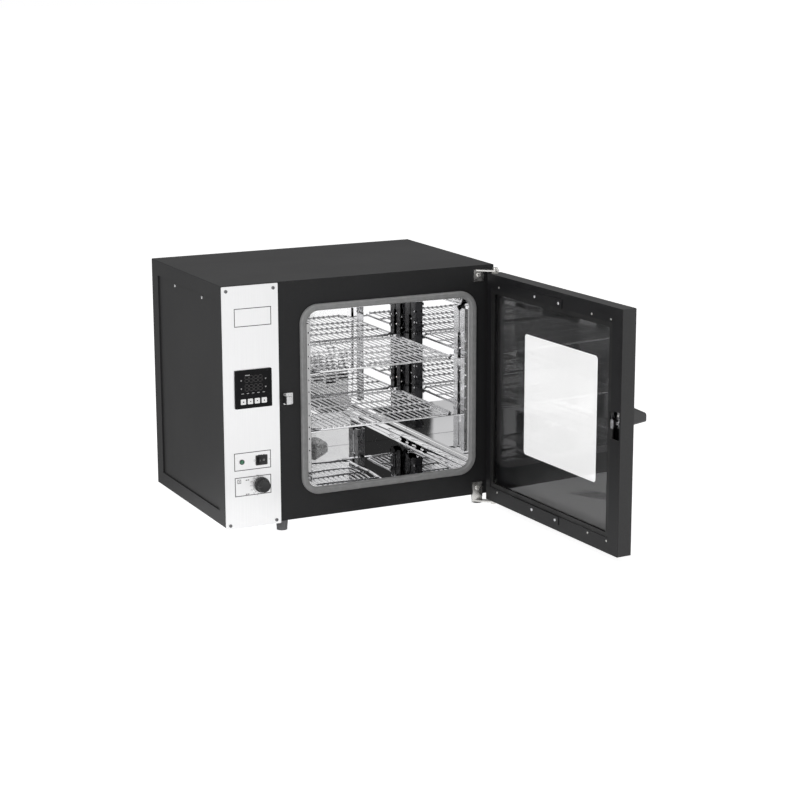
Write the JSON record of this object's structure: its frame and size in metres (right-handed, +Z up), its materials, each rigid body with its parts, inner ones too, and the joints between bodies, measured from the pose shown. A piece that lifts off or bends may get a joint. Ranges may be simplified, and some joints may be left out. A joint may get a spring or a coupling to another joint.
{
  "type": "bench-top drying oven",
  "caption": "Bench-top laboratory drying oven with a hinged glass door, a polished chamber with sliding wire shelves, a fan and a side control strip.",
  "frame": {"origin": "on the floor, under the centre of the whole object's bounding box with the door standing open as made", "axes": "+X to the right as seen from the front, +Y from the front to the back, +Z up"},
  "size_m": [0.6968, 0.9384, 0.527],
  "materials": {
    "charcoal_paint": "satin",
    "door_paint": "satin",
    "inner_black": "satin",
    "galvanised": "satin",
    "polished_stainless": "polished",
    "brushed_stainless": "satin",
    "nickel": "satin",
    "bright_wire": "polished",
    "mineral_wool": "matte",
    "grey_silicone": "matte",
    "black_rubber": "matte",
    "grey_rubber": "matte",
    "black_plastic": "satin",
    "white_key": "satin",
    "smoked_lens": "gloss",
    "green_lens": "gloss",
    "clear_glass": "polished",
    "nylon": "satin",
    "steel": "satin"
  },
  "bodies": {
    "cabinet": {"outer_casing": "charcoal_paint", "left_service_panel": "charcoal_paint", "front_frame": "charcoal_paint", "base_pan": "galvanised", "feet": "grey_rubber", "rear_panel": "charcoal_paint", "chamber_liner": "polished_stainless", "back_baffle": "polished_stainless", "air_ducts": "galvanised", "insulation": "mineral_wool", "door_gasket": "grey_silicone", "support_strips": "polished_stainless", "shelf_clips": "bright_wire", "heater_ring": "steel", "fan_motor": "steel", "motor_bracket": "galvanised", "temperature_probe": "steel", "exhaust_tube": "steel", "power_inlet": "black_plastic", "fuse_holder": "black_plastic", "electrics_plate": "galvanised", "power_relay": "black_plastic", "terminal_block": "black_plastic", "control_panel": "brushed_stainless", "panel_screws": "nickel", "controller_housing": "black_plastic", "display_lens": "smoked_lens", "indicator_lamp": "green_lens", "lamp_holder": "black_plastic", "switch_housing": "black_plastic", "limit_thermostat": "black_plastic", "hinge_brackets": "nickel", "hinge_pins": "nickel", "bracket_screws": "nickel", "striker": "nickel"},
    "door": {"door_shell": "door_paint", "hinge_bushes": "nylon", "inner_glass": "clear_glass", "glass_seal": "black_rubber", "inner_panel": "inner_black", "outer_window": "clear_glass", "window_seal": "black_rubber", "glass_retainers": "door_paint", "door_screws": "nickel", "latch_block": "steel"},
    "door_latch": {"latch_spindle": "nickel", "latch_roller": "nickel", "door_handle": "black_plastic"},
    "lower_shelf": {"lower_shelf": "bright_wire"},
    "upper_shelf": {"upper_shelf": "bright_wire"},
    "fan": {"fan_wheel": "steel", "fan_shaft": "steel"},
    "vent_shutter": {"vent_shutter": "black_plastic"},
    "rocker": {"rocker": "black_plastic"},
    "temperature_knob": {"temperature_knob": "black_plastic", "knob_shaft": "steel"},
    "key_set": {"key_set": "white_key"},
    "key_shift": {"key_shift": "white_key"},
    "key_down": {"key_down": "white_key"},
    "key_up": {"key_up": "white_key"}
  },
  "joints": [
    {"name": "door_hinge", "type": "hinge", "parent": "cabinet", "child": "door", "pos_m": [0.2681, 0.01996, 0.26], "axis": [0, 0, 1], "range_deg": [-92.7, 27.3]},
    {"name": "handle_turn", "type": "hinge", "parent": "door", "child": "door_latch", "pos_m": [0.30803, -0.44467, 0.286], "axis": [0.9989, 0.0471, 0], "range_deg": [-90, 0]},
    {"name": "lower_shelf_slide", "type": "slide", "parent": "cabinet", "child": "lower_shelf", "axis": [0, -1, 0], "range_m": [0, 0.2]},
    {"name": "upper_shelf_slide", "type": "slide", "parent": "cabinet", "child": "upper_shelf", "axis": [0, -1, 0], "range_m": [0, 0.2]},
    {"name": "fan_spin", "type": "hinge", "parent": "cabinet", "child": "fan", "pos_m": [0.02809, 0.36296, 0.273], "axis": [0, 1, 0], "continuous": true},
    {"name": "vent_turn", "type": "hinge", "parent": "cabinet", "child": "vent_shutter", "pos_m": [-0.09591, 0.45996, 0.425], "axis": [0, 1, 0], "range_deg": [0, 90]},
    {"name": "rocker_tilt", "type": "hinge", "parent": "cabinet", "child": "rocker", "pos_m": [-0.2671, 0.04296, 0.1592], "axis": [0, 0, 1], "range_deg": [-16, 0]},
    {"name": "knob_turn", "type": "hinge", "parent": "cabinet", "child": "temperature_knob", "pos_m": [-0.26771, 0.04296, 0.1064], "axis": [0, -1, 0], "range_deg": [-270, 0]},
    {"name": "key_set_press", "type": "slide", "parent": "cabinet", "child": "key_set", "axis": [0, 1, 0], "range_m": [0, 0.0008], "stiffness_N_per_m": 900},
    {"name": "key_shift_press", "type": "slide", "parent": "cabinet", "child": "key_shift", "axis": [0, 1, 0], "range_m": [0, 0.0008], "stiffness_N_per_m": 900},
    {"name": "key_down_press", "type": "slide", "parent": "cabinet", "child": "key_down", "axis": [0, 1, 0], "range_m": [0, 0.0008], "stiffness_N_per_m": 900},
    {"name": "key_up_press", "type": "slide", "parent": "cabinet", "child": "key_up", "axis": [0, 1, 0], "range_m": [0, 0.0008], "stiffness_N_per_m": 900}
  ]
}
